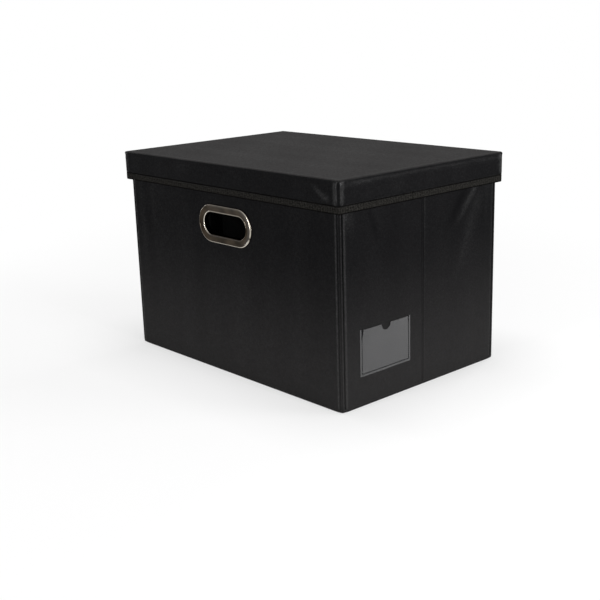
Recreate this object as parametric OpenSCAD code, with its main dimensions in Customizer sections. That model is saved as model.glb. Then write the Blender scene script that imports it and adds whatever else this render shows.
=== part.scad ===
// Collapsible file box: leatherette over board, with folding sides, metal grommet handles
// and a lift-off lid.
// X runs along the two handle walls and Y from the front handle wall to the back one.
// Z is up, and the origin is on the floor under the middle of the box.

/* [Box] */
// Width of the body, over the outer faces of the folding sides
body_w = 397; // [386:1:460]
// Depth of the body, over the outer faces of the handle walls
body_d = 272; // [230:1:280]
// Height from the floor to the top of the lid
overall_h = 267; // [230:1:330]

/* [Wall layers] */
// Thickness of the leatherette
cover_t = 0.9; // [0.6:0.1:1.2]
// Thickness of the stiffener board in the walls and sides
board_t = 2.5; // [1.8:0.1:3.2]
// Thickness of the non-woven lining
lining_t = 0.6; // [0.4:0.1:0.8]
// Leatherette turned over the top edge and down the inside
top_hem_h = 26; // [18:1:34]
// Leatherette turned in along the ends and the bottom of each panel
edge_hem_w = 10; // [6:1:14]

/* [Folding sides] */
// Gap in the leatherette hinge between a side and a handle wall
corner_gap = 0.6; // [0.6:0.1:1.2]
// Gap in the crease between the two halves of a side
crease_gap = 0.4; // [0.3:0.1:0.8]

/* [Handles] */
// Width of the hand hole
hole_w = 81; // [70:1:88]
// Height of the hand hole
hole_h = 28; // [24:1:32]
// Width of the metal rim round the hand hole
rim_w = 10; // [8:0.5:12]
// How far the metal rim stands out from the leatherette
rim_proud = 2.2; // [1.6:0.1:2.6]
// Thickness of the metal sleeve through the wall
metal_t = 0.8; // [0.6:0.1:1.0]
// Width of the clinched ring on the inside of the wall
back_ring_w = 7; // [5:0.5:9]
// Thickness of the clinched ring
back_ring_t = 1.2; // [0.8:0.1:1.6]
// Middle of the hand hole below the top edge of the wall
hole_drop = 72; // [64:1:84]
// Play between the metal sleeve and the hole cut in the wall
sleeve_play = 0.2; // [0.1:0.1:0.4]

/* [Floor] */
// Thickness of the floor cloth
floor_cloth_t = 0.8; // [0.6:0.1:1.2]
// Thickness of the board in the loose bottom panel
bottom_board_t = 2.4; // [1.8:0.1:3.0]
// Thickness of the cloth wrapped round the bottom board
bottom_wrap_t = 0.4; // [0.3:0.1:0.6]
// Play round the loose bottom panel
bottom_play = 0.6; // [0.4:0.1:1.5]
// Gap in the cloth hinge between the walls and the floor
floor_gap = 0.3; // [0.2:0.1:0.6]

/* [Lid] */
// Depth of the lid, from its top to the bottom of its bound rim
lid_h = 37.3; // [30:0.1:46]
// Play between the lid's skirt and the body
lid_play = 2.7; // [2.0:0.1:4.0]
// Gap between the lid's underside and the top of the walls
lid_seat_gap = 0.3; // [0.2:0.1:0.6]
// Thickness of the board in the top of the lid
lid_board_t = 2.2; // [1.6:0.1:3.0]
// Thickness of the boards in the skirt
skirt_board_t = 1.6; // [1.2:0.1:2.0]
// Thickness of the lid's lining
lid_lining_t = 0.4; // [0.3:0.1:0.6]
// Height of the woven tape bound over the rim
binding_h = 9.4; // [7:0.1:12]
// Thickness of the woven tape
binding_t = 0.7; // [0.5:0.1:0.8]
// Radius of the lid's upright corners
lid_corner_r = 1.8; // [0.5:0.1:2.0]

/* [Label pocket] */
// Width of the clear pocket
pocket_w = 84; // [70:1:90]
// Height of the clear pocket
pocket_h = 56; // [48:1:70]
// Thickness of the pocket's clear sheet
pocket_t = 0.5; // [0.3:0.1:0.6]
// Pocket's near edge from the front corner of the box
pocket_from_corner = 29.5; // [20:0.5:34]
// Pocket's bottom edge above the floor
pocket_from_floor = 36.3; // [25:0.1:60]
// Radius of the thumb notch in the pocket's top edge
notch_r = 7.4; // [5:0.1:10]

/* [Hidden] */
$fn = 64;

leatherette = "#1e1e1f";
greyboard = "#8b7a62";
black_cloth = "#2b2b2c";
polished_metal = "#8f877b";
woven_tape = "#332f2a";
clear_sheet = "#6a6a6a";

cut = 1;                 // how far a cutting solid runs past the face that it cuts
crown_steps = 8;         // flats that make up the metal rim's crown
edge_round = 0.35;       // height left at the rim's edges, as a share of its crown

// Walls
wall_t = cover_t + board_t + lining_t;
floor_top = floor_cloth_t + bottom_board_t + 2 * bottom_wrap_t;
wall_z = floor_top + floor_gap;
lid_top_t = cover_t + lid_board_t + lid_lining_t;
wall_top = overall_h - lid_top_t - lid_seat_gap;
wall_h = wall_top - wall_z;
leaf_len = body_d / 2 - wall_t - corner_gap - crease_gap / 2;

// Handles, measured from the bottom of the wall
hole_z = wall_h - hole_drop;
wall_hole_grow = metal_t + sleeve_play;
sleeve_len = wall_t + back_ring_t;

// Lid
lid_w = body_w + 2 * (lid_play + cover_t + skirt_board_t + lid_lining_t);
lid_d = body_d + 2 * (lid_play + cover_t + skirt_board_t + lid_lining_t);
rim_z = overall_h - lid_h;
binding_top = rim_z + binding_h;
board_top = overall_h - cover_t - lid_board_t;
corner_r = min(lid_corner_r, 2.5 * cover_t);
skirt_out = cover_t + skirt_board_t;             // from the outer face to the lining
binding_out = cover_t - binding_t;               // the tape lies this far behind the leatherette

// A slot shape with round ends, centred, w wide over its ends and h high
module slot_outline(w, h) {
    square([w - h, h], center = true);
    for (side = [-1, 1]) translate([side * (w - h) / 2, 0]) circle(d = h);
}

// The same shape as a block that runs along Y, from y to y + len
module slot_block(w, h, y, len) {
    translate([0, y + len, 0]) rotate([90, 0, 0]) linear_extrude(len) slot_outline(w, h);
}

// A block with round upright corners, centred in X and Y
module round_block(w, d, z, h, r) {
    translate([-w / 2 + r, -d / 2, z]) cube([w - 2 * r, d, h]);
    translate([-w / 2, -d / 2 + r, z]) cube([w, d - 2 * r, h]);
    for (x = [-1, 1], y = [-1, 1])
        translate([x * (w / 2 - r), y * (d / 2 - r), z]) cylinder(h = h, r = r);
}

module centred_block(w, d, z, h) {
    translate([-w / 2, -d / 2, z]) cube([w, d, h]);
}

// A panel stands on z = 0 along X from x = 0, with its outer face at y = 0.
// Its leatherette is turned round all four edges of the board and hemmed on the inside.
module panel_cover(len) {
    color(leatherette) difference() {
        cube([len, wall_t, wall_h]);
        translate([cover_t, cover_t, cover_t])
            cube([len - 2 * cover_t, board_t, wall_h - 2 * cover_t]);
        translate([edge_hem_w, cover_t, edge_hem_w])
            cube([len - 2 * edge_hem_w, wall_t, wall_h - edge_hem_w - top_hem_h]);
    }
}

module panel_board(len) {
    color(greyboard) translate([cover_t, cover_t, cover_t])
        cube([len - 2 * cover_t, board_t, wall_h - 2 * cover_t]);
}

module panel_lining(len) {
    color(black_cloth) translate([edge_hem_w, cover_t + board_t, edge_hem_w])
        cube([len - 2 * edge_hem_w, lining_t, wall_h - edge_hem_w - top_hem_h]);
}

// Handle walls: children are panels that get the hole for the metal sleeve
module drilled() {
    difference() {
        children();
        translate([body_w / 2, 0, hole_z])
            slot_block(hole_w + 2 * wall_hole_grow, hole_h + 2 * wall_hole_grow, -cut, wall_t + 2 * cut);
    }
}

module in_front_wall() {
    translate([-body_w / 2, -body_d / 2, wall_z]) children();
}

module in_back_wall() {
    mirror([0, 1, 0]) in_front_wall() children();
}

// Section of the metal rim, from the hole's edge outwards: a low crown with rolled edges
function crown(s) = rim_proud * (edge_round + (1 - edge_round) * sin(180 * s));

module rim_section() {
    polygon(concat(
        [[0, 0]],
        [for (i = [0:crown_steps]) [rim_w * i / crown_steps, crown(i / crown_steps)]],
        [[rim_w, 0]]
    ));
}

// Half of the metal rim: one straight run above the hand hole, and one round end
module half_rim() {
    run = hole_w - hole_h;
    translate([-run / 2, 0, hole_h / 2]) rotate([90, 0, 90])
        linear_extrude(run) rotate([0, 0, 90]) rim_section();
    translate([run / 2, 0, 0]) rotate([90, 0, 0]) rotate([0, 0, -90])
        rotate_extrude(angle = 180) translate([hole_h / 2, 0]) rim_section();
}

module handle_rim() {
    color(polished_metal) translate([body_w / 2, 0, hole_z]) {
        for (turn = [0, 180]) rotate([0, turn, 0]) half_rim();
        difference() {
            slot_block(hole_w + 2 * metal_t, hole_h + 2 * metal_t, 0, sleeve_len);
            slot_block(hole_w, hole_h, -cut, sleeve_len + 2 * cut);
        }
    }
}

// The ring drops over the sleeve's end, flat on the lining
module handle_back_ring() {
    ring_w = hole_w + 2 * metal_t;
    ring_h = hole_h + 2 * metal_t;
    color(polished_metal) translate([body_w / 2, 0, hole_z]) difference() {
        slot_block(ring_w + 2 * back_ring_w, ring_h + 2 * back_ring_w, wall_t, back_ring_t);
        slot_block(ring_w, ring_h, wall_t - cut, back_ring_t + 2 * cut);
    }
}

// Folding sides: x runs back from the front corner along the right side, y inwards
module in_right_front_leaf() {
    translate([body_w / 2, -body_d / 2 + wall_t + corner_gap, wall_z]) rotate([0, 0, 90]) children();
}

module in_right_rear_leaf() {
    mirror([0, 1, 0]) in_right_front_leaf() children();
}

module in_left_front_leaf() {
    mirror([1, 0, 0]) in_right_front_leaf() children();
}

module in_left_rear_leaf() {
    mirror([1, 0, 0]) in_right_rear_leaf() children();
}

// Clear sheet sewn on at its sides and bottom, open at the top, with a thumb notch
module label_pocket() {
    color(clear_sheet)
        translate([body_w / 2, -body_d / 2 + pocket_from_corner, pocket_from_floor])
            rotate([90, 0, 90]) linear_extrude(pocket_t) difference() {
                square([pocket_w, pocket_h]);
                translate([pocket_w / 2, pocket_h]) circle(r = notch_r);
            }
}

// The floor cloth is doubled into a seam under the walls and holds the bottom panel
module floor_cloth() {
    color(leatherette) difference() {
        centred_block(body_w, body_d, 0, floor_top);
        centred_block(body_w - 2 * wall_t, body_d - 2 * wall_t, floor_cloth_t, floor_top);
    }
}

module bottom_board() {
    inset = 2 * (wall_t + bottom_play + bottom_wrap_t);
    color(greyboard)
        centred_block(body_w - inset, body_d - inset, floor_cloth_t + bottom_wrap_t, bottom_board_t);
}

module bottom_board_wrap() {
    inset = 2 * (wall_t + bottom_play);
    color(black_cloth) difference() {
        centred_block(body_w - inset, body_d - inset, floor_cloth_t, floor_top - floor_cloth_t);
        centred_block(
            body_w - inset - 2 * bottom_wrap_t, body_d - inset - 2 * bottom_wrap_t,
            floor_cloth_t + bottom_wrap_t, bottom_board_t
        );
    }
}

// One sheet over the top of the lid and down its four sides, sewn at the corners
module lid_cover() {
    color(leatherette) difference() {
        round_block(lid_w, lid_d, binding_top, overall_h - binding_top, corner_r);
        centred_block(
            lid_w - 2 * cover_t, lid_d - 2 * cover_t, binding_top - cut, overall_h - cover_t - binding_top + cut
        );
    }
}

module lid_top_board() {
    color(greyboard) centred_block(lid_w - 2 * cover_t, lid_d - 2 * cover_t, board_top, lid_board_t);
}

// The skirt boards reach down into the fold of the woven tape
module skirt_board(len, along_y) {
    board_h = board_top - rim_z - binding_t;
    turn = along_y ? 90 : 0;
    reach = (along_y ? lid_w : lid_d) / 2 - cover_t;
    color(greyboard) rotate([0, 0, turn])
        translate([-len / 2, -reach, rim_z + binding_t]) cube([len, skirt_board_t, board_h]);
}

module lid_skirt_board_front() {
    skirt_board(lid_w - 2 * cover_t, false);
}

module lid_skirt_board_back() {
    rotate([0, 0, 180]) skirt_board(lid_w - 2 * cover_t, false);
}

module lid_skirt_board_right() {
    skirt_board(lid_d - 2 * skirt_out, true);
}

module lid_skirt_board_left() {
    rotate([0, 0, 180]) skirt_board(lid_d - 2 * skirt_out, true);
}

module lid_lining() {
    inner = 2 * (skirt_out + lid_lining_t);
    color(black_cloth) difference() {
        centred_block(
            lid_w - 2 * skirt_out, lid_d - 2 * skirt_out, binding_top, board_top - binding_top
        );
        centred_block(
            lid_w - inner, lid_d - inner, binding_top - cut, board_top - binding_top - lid_lining_t + cut
        );
    }
}

// Woven tape folded over the rim, with the skirt boards' lower edges in its fold
module lid_binding() {
    inner = 2 * (skirt_out + binding_t);
    color(woven_tape) difference() {
        round_block(lid_w - 2 * binding_out, lid_d - 2 * binding_out, rim_z, binding_h, corner_r);
        difference() {
            centred_block(lid_w - 2 * cover_t, lid_d - 2 * cover_t, rim_z + binding_t, binding_h);
            centred_block(lid_w - 2 * skirt_out, lid_d - 2 * skirt_out, rim_z, binding_h + cut);
        }
        centred_block(lid_w - inner, lid_d - inner, rim_z - cut, binding_h + 2 * cut);
    }
}

in_front_wall() drilled() panel_cover(body_w);  // front_wall_cover
in_front_wall() drilled() panel_board(body_w);  // front_wall_board
in_front_wall() drilled() panel_lining(body_w);  // front_wall_lining
in_front_wall() handle_rim();  // front_handle_rim
in_front_wall() handle_back_ring();  // front_handle_back_ring

in_back_wall() drilled() panel_cover(body_w);  // back_wall_cover
in_back_wall() drilled() panel_board(body_w);  // back_wall_board
in_back_wall() drilled() panel_lining(body_w);  // back_wall_lining
in_back_wall() handle_rim();  // back_handle_rim
in_back_wall() handle_back_ring();  // back_handle_back_ring

in_right_front_leaf() panel_cover(leaf_len);  // right_front_leaf_cover
in_right_front_leaf() panel_board(leaf_len);  // right_front_leaf_board
in_right_front_leaf() panel_lining(leaf_len);  // right_front_leaf_lining
in_right_rear_leaf() panel_cover(leaf_len);  // right_rear_leaf_cover
in_right_rear_leaf() panel_board(leaf_len);  // right_rear_leaf_board
in_right_rear_leaf() panel_lining(leaf_len);  // right_rear_leaf_lining
in_left_front_leaf() panel_cover(leaf_len);  // left_front_leaf_cover
in_left_front_leaf() panel_board(leaf_len);  // left_front_leaf_board
in_left_front_leaf() panel_lining(leaf_len);  // left_front_leaf_lining
in_left_rear_leaf() panel_cover(leaf_len);  // left_rear_leaf_cover
in_left_rear_leaf() panel_board(leaf_len);  // left_rear_leaf_board
in_left_rear_leaf() panel_lining(leaf_len);  // left_rear_leaf_lining
label_pocket();

floor_cloth();
bottom_board();
bottom_board_wrap();

lid_cover();
lid_top_board();
lid_skirt_board_front();
lid_skirt_board_back();
lid_skirt_board_left();
lid_skirt_board_right();
lid_lining();
lid_binding();
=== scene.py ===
import math

import bmesh
import bpy
import numpy as np
from mathutils import Matrix, Vector


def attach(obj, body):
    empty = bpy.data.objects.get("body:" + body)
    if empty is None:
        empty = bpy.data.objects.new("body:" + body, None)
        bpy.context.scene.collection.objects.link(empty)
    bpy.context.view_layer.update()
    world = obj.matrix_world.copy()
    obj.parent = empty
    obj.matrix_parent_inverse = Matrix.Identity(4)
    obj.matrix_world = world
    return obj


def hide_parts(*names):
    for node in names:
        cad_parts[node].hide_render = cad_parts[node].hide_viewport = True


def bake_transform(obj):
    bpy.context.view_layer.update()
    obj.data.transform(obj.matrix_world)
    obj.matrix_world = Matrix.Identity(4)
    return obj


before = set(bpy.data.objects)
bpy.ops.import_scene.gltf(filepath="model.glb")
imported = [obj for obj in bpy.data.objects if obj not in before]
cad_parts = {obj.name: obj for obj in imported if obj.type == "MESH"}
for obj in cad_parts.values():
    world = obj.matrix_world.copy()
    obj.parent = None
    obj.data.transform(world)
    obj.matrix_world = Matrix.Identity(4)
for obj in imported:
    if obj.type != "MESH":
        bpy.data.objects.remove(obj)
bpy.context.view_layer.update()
MM = 0.001

# ---- Floor pan ----
# The bottom of the box is leatherette doubled over and sewn into a low rim, and the walls stand
# on that rim. It is the same black embossed PVC leatherette as the walls.
body_w, body_d, wall_t = 397.0, 272.0, 4.0
pan_rim_top = 4.25            # just under the walls' lower edges, which are at 4.3
pan_floor = 0.8
SIDES = ("left", "right", "bottom", "top")


def linear(colour):
    """An sRGB hex value as linear RGBA."""
    parts = [int(colour[i:i + 2], 16) / 255 for i in (1, 3, 5)]
    return [c / 12.92 if c <= 0.04045 else ((c + 0.055) / 1.055) ** 2.4 for c in parts] + [1.0]


def node(tree, kind, inputs=(), **settings):
    """Adds a node with its settings. inputs gives the sockets their values, in order or by name: a
    number, a colour's hex value, or the node or output to link."""
    made = tree.nodes.new(kind if "Node" in kind else "ShaderNode" + kind)
    for name, value in settings.items():
        setattr(made, name, value)
    for socket, value in (inputs if isinstance(inputs, dict) else dict(enumerate(inputs))).items():
        if isinstance(value, bpy.types.Node):
            value = value.outputs[0]
        if isinstance(value, bpy.types.NodeSocket):
            tree.links.new(value, made.inputs[socket])
        else:
            made.inputs[socket].default_value = linear(value) if isinstance(value, str) else value
    return made


def new_finish(name):
    """A material with an empty tree: (material, its tree)."""
    made = bpy.data.materials.new(name)
    made.use_nodes = True
    made.node_tree.nodes.clear()
    return made, made.node_tree


def surface(tree, inputs):
    """Ends a material's tree in a Principled shader."""
    node(tree, "OutputMaterial", [node(tree, "BsdfPrincipled", inputs)])


# Embossed PVC leatherette: a pebble grain pressed into black vinyl. Flat parts are matt, and rolls at
# seams and edges are worn shiny. The foot of the walls and the top of the lid have painted light: a
# paler tone that stands in for the light from the floor and from above.
leatherette, tree = new_finish("Leatherette, embossed black PVC")
GRAIN = 1.15 * MM             # a pebble is about 0.7 mm across; drawn coarser, so that it shows
where = node(tree, "TexCoord").outputs["Object"]
warp = node(tree, "TexNoise", {"Vector": where, "Scale": 1 / (4 * GRAIN), "Detail": 2})
bent = node(tree, "MixRGB", [0.0009, where, warp.outputs["Color"]], blend_type="ADD")
pebbles = node(tree, "TexVoronoi", {"Vector": bent, "Scale": 1 / GRAIN, "Randomness": 0.9})
creases = node(tree, "TexNoise", {"Vector": where, "Scale": 1 / (9 * MM), "Detail": 5, "Roughness": 0.62})
slack = node(tree, "TexNoise", {"Vector": where, "Scale": 1 / (70 * MM), "Detail": 2})
height = node(tree, "Math", [pebbles, -0.55, creases], operation="MULTIPLY_ADD")
grain = node(tree, "Bump", {"Height": height, "Strength": 0.6, "Distance": 0.16 * MM})
tone = node(tree, "MixRGB", [slack, "#09090a", "#101011"])
# Painted light: a paler tone for the light from the floor, fading out 200 mm up the walls, and for
# the light from above on the top of the lid
up = node(tree, "SeparateXYZ", [where]).outputs["Z"]
painted_foot_light = node(tree, "MapRange", [up, 0.2, 0.0, 0.0, 0.55], interpolation_type="SMOOTHSTEP")
painted_top_light = node(tree, "MapRange", [up, 0.2655, 0.2668, 0.0, 0.97])
painted_light_mask = node(tree, "Math", [painted_foot_light, painted_top_light], operation="MAXIMUM")
crease_mottle = node(tree, "MapRange", [creases, 0.3, 0.7, 0.9, 1.1])
painted_light = node(tree, "Math", [painted_light_mask, crease_mottle], operation="MULTIPLY")
# Painted light: the leatherette's tone is mixed towards a pale grey by the painted light mask
base_tone = node(tree, "MixRGB", [painted_light, tone, "#302f2f"])
worn = node(tree, "MapRange", [creases, 0.3, 0.7, 0.28, 0.38])
# Shine: worn into the rolls by rubbing, most of all on the tops of the pebbles; hollows stay dull
rolls = node(tree, "Attribute", attribute_name="Shine and painted highlight").outputs["Fac"]
tops = node(tree, "MapRange", [pebbles, 0.55, 0.1, 0.5, 1.5])
press = node(tree, "TexNoise", {"Vector": where, "Scale": 1 / (3.2 * MM), "Detail": 3, "Roughness": 0.55})
uneven = node(tree, "MapRange", [press, 0.3, 0.7, 0.7, 1.35])
shine = node(tree, "Math", [rolls, 0.36, 0.1], operation="MULTIPLY_ADD")
patchy = node(tree, "Math", [tops, uneven], operation="MULTIPLY")
lacquer = node(tree, "Math", [shine, patchy], operation="MULTIPLY")
surface(tree, {"Base Color": base_tone, "Roughness": 0.8, "Specular IOR Level": 0.0, "Coat Weight": lacquer,
               "Coat Roughness": worn, "Normal": grain, "Coat Normal": grain})


def piece(name, points, faces, finish, place=None, uv=None, shine_and_painted_highlight=None, outwards=False, flipped=False):
    """A smooth mesh object at the origin from points in millimetres, with its doubles merged.

    place turns a point into the part's own x, y and z. The shine given for each point is how shiny it
    is worn on leatherette, and how strong the painted highlight is on plated metal."""
    mesh = bpy.data.meshes.new(name)
    mesh.from_pydata([Vector(place(*p) if place else p) * MM for p in points], [],
                     [list(map(int, f[::-1] if flipped else f)) for f in faces])
    if shine_and_painted_highlight is not None:
        shine_layer = mesh.attributes.new("Shine and painted highlight", "FLOAT", "POINT")
        shine_layer.data.foreach_set("value", np.asarray(shine_and_painted_highlight, np.float32))
    if uv is not None:
        corner = np.zeros(len(mesh.loops), np.int32)
        mesh.loops.foreach_get("vertex_index", corner)
        layer = mesh.uv_layers.new(name="Sheet")
        layer.data.foreach_set("uv", (np.asarray(uv)[corner] * MM).astype(np.float32).ravel())
    doubles = 0.002 * MM
    work = bmesh.new()
    work.from_mesh(mesh)
    bmesh.ops.remove_doubles(work, verts=work.verts, dist=doubles)
    bmesh.ops.dissolve_degenerate(work, edges=work.edges, dist=doubles)
    if outwards:
        bmesh.ops.recalc_face_normals(work, faces=work.faces)
    work.to_mesh(mesh)
    work.free()
    mesh.polygons.foreach_set("use_smooth", [True] * len(mesh.polygons))
    mesh.materials.append(finish)
    made = bpy.data.objects.new(name, mesh)
    bpy.context.scene.collection.objects.link(made)
    return made


def rides(made, body, stands_for):
    """Says which body a piece rides on and which CAD node it stands for."""
    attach(made, body)
    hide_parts(stands_for)


def spread(run, count):
    """count points evenly along a run of (in, depth) points."""
    run = np.asarray(run, float)
    along = np.concatenate([[0], np.cumsum(np.linalg.norm(np.diff(run, axis=0), axis=1))])
    at = np.linspace(0, along[-1], count)
    return np.stack([np.interp(at, along, run[:, i]) for i in range(2)], 1)


def steps(length, ends, pitch):
    """Places along a panel: close together at both ends and evenly spread between."""
    inner = np.linspace(ends[-1], length - ends[-1], max(2, round((length - 2 * ends[-1]) / pitch) + 1))
    return np.concatenate([ends[:-1], inner, length - np.array(ends[:-1])[::-1]])


def grid_faces(at):
    """The four-sided faces of a grid, at being the number of each of its points."""
    return [(at[i, j], at[i + 1, j], at[i + 1, j + 1], at[i, j + 1])
            for i in range(at.shape[0] - 1) for j in range(at.shape[1] - 1)]


def wrapped_sheet(us, vs, runs, face_relief, edge_relief, margin=40.0):
    """A sheet over the face of a panel and round its four edges.

    us and vs are the places of the grid on the face. runs gives for each side the run round that
    edge, as (in from the panel's end, depth below the face). The reliefs are how far the sheet stands
    proud, in millimetres, on the face and on the edges. Rows within the margin move with the edge.
    Returns points (u, v, depth), faces that point away from the panel, the last ring and how proud
    each point stands.
    """
    wide, high = us[-1] + runs["right"][0, 0], vs[-1] + runs["top"][0, 0]
    nu, nv = len(us), len(vs)
    gu, gv = np.meshgrid(us, vs, indexing="ij")
    points = [np.stack([gu, gv, -face_relief(gu, gv)], -1).reshape(-1, 3)]
    raised = list(-points[0][:, 2])
    at = np.arange(nu * nv).reshape(nu, nv)
    faces = grid_faces(at)
    loop = [(i, 0, "bottom") for i in range(nu - 1)] + [(nu - 1, j, "right") for j in range(nv - 1)]
    loop += [(i, nv - 1, "top") for i in range(nu - 1, 0, -1)]
    loop += [(0, j, "left") for j in range(nv - 1, 0, -1)]
    corners = {(0, 0): ("left", "bottom"), (nu - 1, 0): ("right", "bottom"),
               (nu - 1, nv - 1): ("right", "top"), (0, nv - 1): ("left", "top")}
    slope = {s: np.gradient(r, axis=0) for s, r in runs.items()}
    away = {s: np.stack([-t[:, 1], t[:, 0]], 1) / np.maximum(np.linalg.norm(t, axis=1), 1e-9)[:, None]
            for s, t in slope.items()}
    hem_depth = 1.6           # the face's relief dies away by here, so that the hem inside lies flat

    def eased(place, low_end, high_end, size, k):
        """A place along an edge, moved with the ends of the run that it lies on."""
        a, b = runs[low_end], runs[high_end]
        if place < margin:
            return margin - (margin - place) * (margin - a[k, 0]) / (margin - a[0, 0])
        if place > size - margin:
            return size - margin + (margin - size + place) * (margin - b[k, 0]) / (margin - b[0, 0])
        return place

    below = np.array([at[i, j] for i, j, _ in loop])
    for k in range(1, len(runs["left"])):
        ring = []
        for i, j, side in loop:
            u, v = eased(us[i], "left", "right", wide, k), eased(vs[j], "bottom", "top", high, k)
            sides = corners.get((i, j), (side,))
            depth = max(runs[s][k, 1] for s in sides)
            proud = face_relief(u, v) * max(0.0, 1 - depth / hem_depth)
            depth += max((away[s][k, 1] for s in sides), key=abs) * proud
            stands = edge_relief(side, v if side in ("left", "right") else u, runs[side][k, 1])
            raised.append(max(stands, proud * max(0.0, -away[side][k, 1])))
            for s in sides:
                out = edge_relief(s, v if s in ("left", "right") else u, runs[s][k, 1]) * away[s][k, 0]
                inset = runs[s][k, 0] + out
                if s in ("left", "right"):
                    u = inset if s == "left" else wide - inset
                else:
                    v = inset if s == "bottom" else high - inset
            ring.append((float(u), float(v), float(depth)))
        points.append(np.array(ring))
        above = nu * nv + (k - 1) * len(loop) + np.arange(len(loop))
        faces += zip(np.roll(below, -1), below, above, np.roll(above, -1))
        below = above
    return np.concatenate(points), faces, below, np.array(raised)


def to_end(place, length):
    """How far a place is from the nearer end."""
    return np.minimum(place, length - place)


def swell(off, width):
    """A soft bump: 1 where off is 0, and nearly 0 beyond two widths."""
    return np.exp(-(off / width) ** 2)


# The pan is drawn upside down: its face is the underside, and depth runs up from the floor. Its
# corners are boxed, so they lift off the floor a little.
def boxed_corners(u, v):
    away = np.hypot(to_end(u, body_w), to_end(v, body_d))
    sag = 0.10 * np.sin(u / 23) * np.sin(v / 19)
    return -1.9 * swell(away, 5.5) + np.where(away > 12, -0.12 + sag, -0.05)


def rounded_corner(side, along, depth):
    near = to_end(along, body_d if side in ("left", "right") else body_w)
    return -0.95 * swell(near, 1.6) if depth < 4.2 else 0.0


pan_edge = np.concatenate([
    spread([(1.2, 0), (0.7, 0.12), (0.3, 0.4), (0.08, 0.8), (0, 1.2)], 6),
    spread([(0, 1.8), (0, 4.05), (0.06, 4.2), (0.2, pan_rim_top)], 5),
    spread([(1.5, pan_rim_top), (wall_t - 0.2, pan_rim_top), (wall_t, pan_rim_top - 0.2)], 4),
    spread([(wall_t, 2.5), (wall_t, pan_floor)], 2)])
pan_ends = [1.2, 1.7, 2.4, 3.3, 4.5, 6.5, 9.5, 14.0]
points, faces, last, _ = wrapped_sheet(steps(body_w, pan_ends, 12), steps(body_d, pan_ends, 12),
                                       dict.fromkeys(SIDES, pan_edge), boxed_corners, rounded_corner)
pan = piece("floor_pan", points, faces + [tuple(last)], leatherette,
            lambda u, v, depth: (body_w / 2 - u, v - body_d / 2, depth), outwards=True)
rides(pan, "front_wall", "floor_cloth")

# ---- Bottom panel ----
# A loose greyboard panel wrapped in black spunbond non-woven that keeps the floor flat. The cloth
# is glued and turned under at the edges.

# Greyboard: pressed waste paper, dull and warm grey, with short fibres and darker specks.
greyboard, tree = new_finish("Greyboard, pressed from waste paper")
where = node(tree, "TexCoord").outputs["Object"]
fibres = node(tree, "TexNoise", {"Vector": where, "Scale": 1 / (1.6 * MM), "Detail": 6})
specks = node(tree, "TexVoronoi", {"Vector": where, "Scale": 1 / (5 * MM)})
spot = node(tree, "MapRange", [specks, 0.06, 0.14])
mottle = node(tree, "MixRGB", [fibres, "#7d6d57", "#93836b"])
flecked = node(tree, "MixRGB", [spot, "#5a4c3b", mottle])
rough = node(tree, "Bump", {"Height": fibres, "Strength": 0.4, "Distance": 0.1 * MM})
surface(tree, {"Base Color": flecked, "Roughness": 0.9, "Normal": rough})
for name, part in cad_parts.items():
    if "board" in name and "wrap" not in name:
        part.data.materials.clear()
        part.data.materials.append(greyboard)

# Spunbond polypropylene: matt black felt-like cloth, bonded in a close pattern of pressed points.
nonwoven, tree = new_finish("Non-woven, black spunbond polypropylene")
BOND = 2.4 * MM               # bond points are about 1.2 mm apart; drawn coarser, so that they show
sheet_uv = node(tree, "UVMap", uv_map="Sheet")
turned = node(tree, "Mapping", {"Vector": sheet_uv, "Rotation": (0, 0, math.radians(45))})
bonds = node(tree, "TexVoronoi", {"Vector": turned, "Scale": 1 / BOND, "Randomness": 0.0},
             voronoi_dimensions="2D")
pressed = node(tree, "MapRange", [bonds, 0.15, 0.33])
hair = node(tree, "TexNoise", {"Vector": sheet_uv, "Scale": 1 / (0.9 * MM), "Detail": 5})
cloud = node(tree, "TexNoise", {"Vector": sheet_uv, "Scale": 1 / (28 * MM), "Detail": 3})
pile = node(tree, "Math", [hair, 0.5, pressed], operation="MULTIPLY_ADD")
bump = node(tree, "Bump", {"Height": pile, "Strength": 0.6, "Distance": 0.12 * MM})
shade = node(tree, "MixRGB", [cloud, "#232324", "#2f2f30"])
dotted = node(tree, "MixRGB", [pressed, "#1c1c1d", shade])
surface(tree, {"Base Color": dotted, "Roughness": 0.88, "Sheen Weight": 0.15, "Normal": bump})

panel_gap = 0.6               # play round the panel, inside the pan's rim
panel_w, panel_d = body_w - 2 * (wall_t + panel_gap), body_d - 2 * (wall_t + panel_gap)
panel_top, panel_under = 4.0, pan_floor + 0.05
wrapped_t = panel_top - panel_under


def flat(*_):
    """The relief of an edge that stands nowhere proud."""
    return 0.0


def glued_cloth(u, v):
    edge = np.minimum(to_end(u, panel_w), to_end(v, panel_d))
    return 0.07 * np.sin(u / 31 + 1) * np.sin(v / 27) - 0.14 - 0.2 * np.exp(-edge / 2.0)


wrap_edge = np.concatenate([
    spread([(1.2, 0), (0.55, 0.14), (0.14, 0.5), (0, 1)], 5),
    spread([(0, 1.6), (0, 2.6), (0.14, 2.95), (0.5, wrapped_t)], 5),
    spread([(2, wrapped_t), (15, wrapped_t)], 3)])
wrap_ends = [1.2, 2.0, 3.5, 6.0, 10.0]
points, faces, _, _ = wrapped_sheet(steps(panel_w, wrap_ends, 9), steps(panel_d, wrap_ends, 9),
                                    dict.fromkeys(SIDES, wrap_edge), glued_cloth, flat)
wrap = piece("bottom_panel_cloth", points, faces, nonwoven,
             lambda u, v, depth: (u - panel_w / 2, v - panel_d / 2, panel_top - depth), uv=points[:, :2])
rides(wrap, "front_wall", "bottom_board_wrap")

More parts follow.
